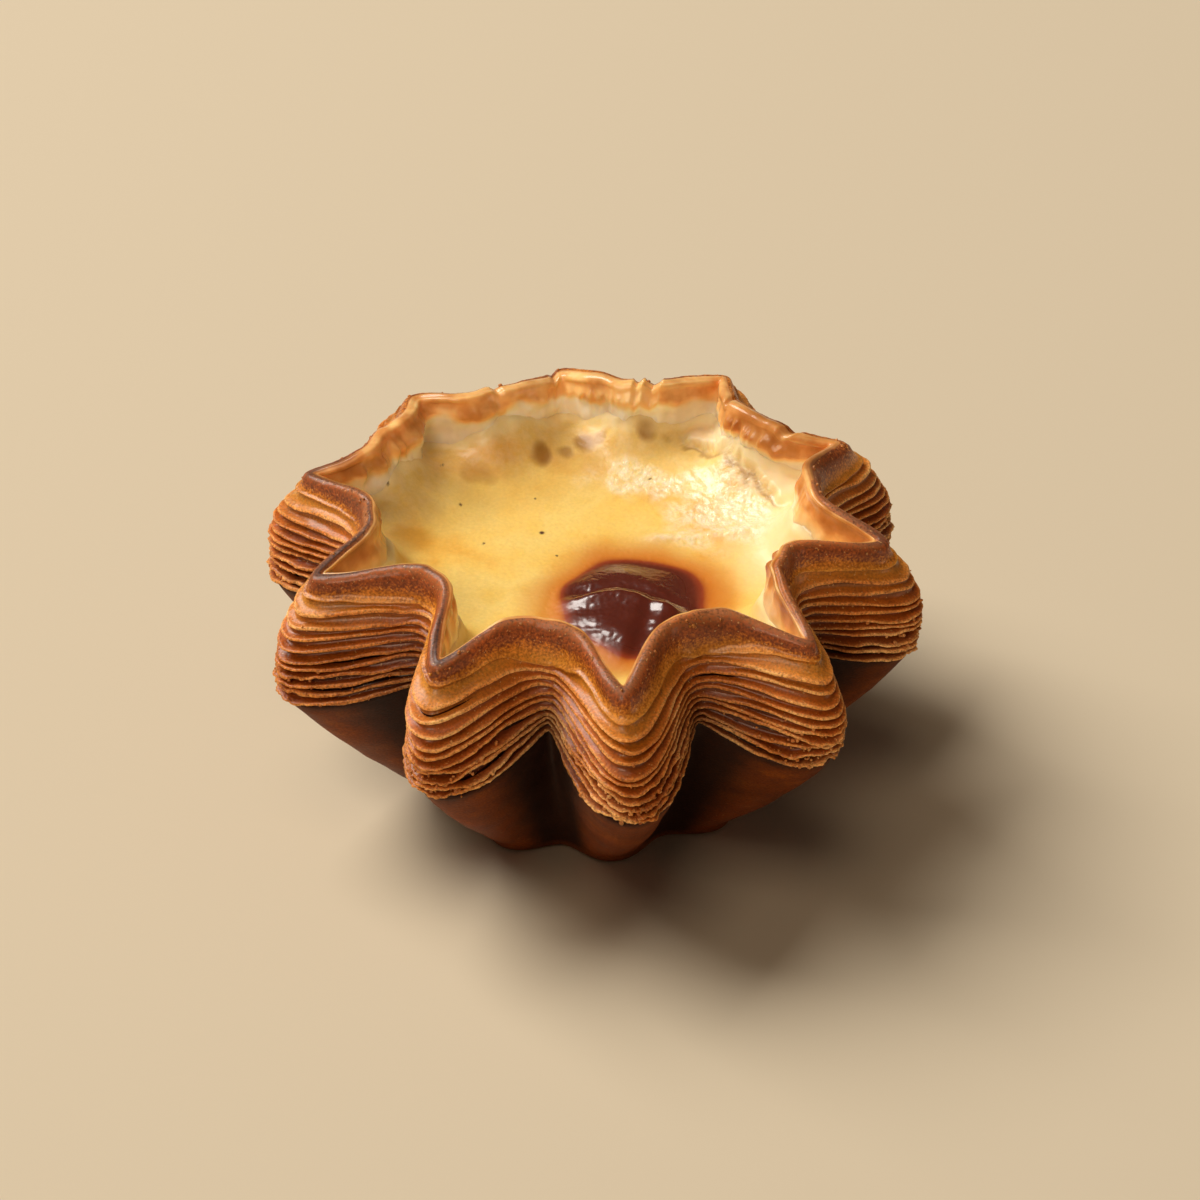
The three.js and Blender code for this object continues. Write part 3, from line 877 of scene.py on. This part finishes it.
    # Butter glazes the treads and the inside, and leaves the wall, the lips and the hollows dry
    dry = add(tree, "ShaderNodeMath", {0: at["wall"], 1: at["lip"]}, operation="MAXIMUM")
    dry = add(tree, "ShaderNodeMath", {0: dry, 1: at["pleat_shade"]}, operation="MAXIMUM")
    glaze = add(tree, "ShaderNodeMath", {0: is_inside, 1: 0.35, 2: 0.3}, operation="MULTIPLY_ADD")
    coat = add(tree, "ShaderNodeMath", {0: dry, 1: -0.3, 2: glaze}, operation="MULTIPLY_ADD")
    feed(tree, shader, {
        "Base Color": base, "Normal": bump, "Roughness": rough, "Specular IOR Level": 0.25,
        "Subsurface Weight": through, "Subsurface Radius": (1.0, 0.65, 0.4), "Subsurface Scale": 2.2 * MM,
        "Coat Weight": coat, "Coat Roughness": 0.16,
    })
    return material


def egg_custard():
    """Set egg custard: soft yellow, moist and translucent, burnt dark and glossy on its blister."""
    # Set egg and cream look soft and a little see-through, and the scorched skin shines like caramel
    material, tree, shader = new_material("set_egg_custard")
    _, at = read_surface(tree, CUSTARD_MASKS, CUSTARD_PATTERNS)
    yellow_stops = ((0.3, "#eab042"), (0.45, "#f4cc68"), (0.6, "#f4d478"), (0.75, "#ecc660"))
    base = add(tree, "ShaderNodeValToRGB", {"Fac": at["cloud"]}, yellow_stops)
    curdled = add(tree, "ShaderNodeMapRange", {0: at["curd"], 1: 0.3, 2: 0.7, 3: 0.95, 4: 1.04})
    base = add(tree, "ShaderNodeVectorMath", {0: base, "Scale": curdled}, operation="SCALE")
    # Pale at the wall, and a painted highlight at the right
    pale = add(tree, "ShaderNodeMath", {0: at["edge"], 1: 0.7}, operation="MULTIPLY")
    # The froth also carries a painted highlight line along the ridge
    frothy = add(tree, "ShaderNodeMapRange", {0: at["froth"], 1: 0.35, 2: 0.65, 3: 0.3, 4: 0.85})
    foam_and_highlight = add(tree, "ShaderNodeMath", {0: at["froth_and_highlight"], 1: frothy}, operation="MULTIPLY")
    singed = add(tree, "ShaderNodeMath", {0: at["halo"], 1: 0.95}, operation="MULTIPLY")
    burnt = add(tree, "ShaderNodeMapRange", {0: at["burn"], 1: 0.0, 2: 0.35, 3: 0.0, 4: 1.0})
    char_stops = ((0.0, "#c06a14"), (0.35, "#92380f"), (0.7, "#642410"), (1.0, "#582012"))
    char = add(tree, "ShaderNodeValToRGB", {"Fac": at["burn"]}, char_stops)
    # The pits mask also carries painted shade at the back left and under the torn skin's edge
    for share, tone in (
        (pale, colour("#fce4b4")),
        (foam_and_highlight, colour("#fbf0d0")),
        (at["skin"], colour("#fce6b8")),
        (at["pits_and_shade"], colour("#96631a")),
        (singed, colour("#cc740a")),
        (burnt, char),
        (at["speck"], colour("#4a2410")),
    ):
        base = add(tree, "ShaderNodeMix", {0: share, 6: base, 7: tone}, output=2, data_type="RGBA")
    beaded = add(tree, "ShaderNodeMath", {0: at["froth_and_highlight"], 1: 0.45, 2: 0.06}, operation="MULTIPLY_ADD")
    bump = add(tree, "ShaderNodeBump", {"Height": at["bead"], "Strength": beaded, "Distance": 0.3 * MM})
    curds = {"Height": at["curd"], "Strength": 0.06, "Distance": 0.15 * MM, "Normal": bump}
    bump = add(tree, "ShaderNodeBump", curds)
    wet = add(tree, "ShaderNodeMath", {0: at["burn"], 1: at["froth_and_highlight"]}, operation="MAXIMUM")
    damp = add(tree, "ShaderNodeMath", {0: wet, 1: -0.2, 2: 0.46}, operation="MULTIPLY_ADD")
    coat = add(tree, "ShaderNodeMath", {0: wet, 1: 0.25, 2: 0.06}, operation="MULTIPLY_ADD")
    coat = add(tree, "ShaderNodeMath", {0: at["burn"], 1: 0.6, 2: coat}, operation="MULTIPLY_ADD")
    feed(tree, shader, {
        "Base Color": base, "Normal": bump, "Roughness": damp, "Coat Weight": coat, "Coat Roughness": 0.14,
        "Subsurface Weight": 0.3, "Subsurface Radius": (1.0, 0.6, 0.2), "Subsurface Scale": 2.0 * MM,
    })
    return material


def pale_floor():
    """A plain pale warm matt floor."""
    # Matt paint gives an even tone with a soft shadow and no gloss
    material, tree, shader = new_material("pale_matt_floor")
    feed(tree, shader, {"Base Color": colour("#e6d5b8"), "Roughness": 0.9})
    return material


def lay_floor():
    """The plain floor that the tart stands on."""
    bpy.ops.object.select_all(action="DESELECT")
    bpy.ops.mesh.primitive_plane_add(size=FLOOR_SIZE, location=(0, 0, -FLOOR_DROP))
    ground = bpy.context.object
    ground.name = "studio_floor"
    ground.data.materials.append(pale_floor())


def set_lights(tart):
    """The soft studio light, of which the front and side fill fall on the tart alone."""
    world = bpy.data.worlds.new("soft_studio")
    bpy.context.scene.world = world
    world.use_nodes = True
    ambient = world.node_tree.nodes["Background"]
    feed(world.node_tree, ambient, {"Color": colour(AMBIENT_COLOUR), "Strength": AMBIENT_STRENGTH})
    for name, place, size, power, tint, on_floor in LIGHTS:
        lamp = bpy.data.lights.new(name, "AREA")
        lamp.shape = "SQUARE"
        lamp.size = size
        lamp.energy = power
        lamp.color = colour(tint)[:3]
        light = bpy.data.objects.new(name, lamp)
        bpy.context.scene.collection.objects.link(light)
        light.location = place
        light.rotation_euler = (Vector(LIGHT_AIM) - light.location).to_track_quat("-Z", "Y").to_euler()
        if not on_floor:
            light.light_linking.receiver_collection = tart


def set_camera():
    """The camera of the photograph, level from side to side and tilted down at the tart."""
    lens = bpy.data.cameras.new("photo_camera")
    lens.lens = CAMERA_LENS
    lens.sensor_width = CAMERA_SENSOR
    lens.clip_start = 0.01
    camera = bpy.data.objects.new("photo_camera", lens)
    bpy.context.scene.collection.objects.link(camera)
    tilt = math.radians(CAMERA_ELEVATION)
    back = Vector((0, -math.cos(tilt), math.sin(tilt))) * CAMERA_DISTANCE
    camera.location = (Vector(AIM) + back) * MM
    camera.rotation_euler = (math.pi / 2 - tilt, 0, 0)
    bpy.context.scene.camera = camera
    bpy.context.scene.view_settings.view_transform = "Standard"


def dress(piece, material, node):
    """Gives a piece its material and joins it to the frame in place of a node."""
    front_lit.objects.link(piece)
    piece.data.materials.clear()
    piece.data.materials.append(material)
    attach(piece, "root")
    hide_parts(node)


front_lit = bpy.data.collections.new("front_lit")
lay_floor()
set_lights(front_lit)
set_camera()
pastry = baked_pastry()
dress(make_pastry_shell(), pastry, "pastry_shell")
for number in range(2, LEAVES + 1):
    dress(make_leaf(number), pastry, "pastry_shell")
dress(make_crumbs(), pastry, "pastry_shell")
dress(make_custard(), egg_custard(), "custard_filling")
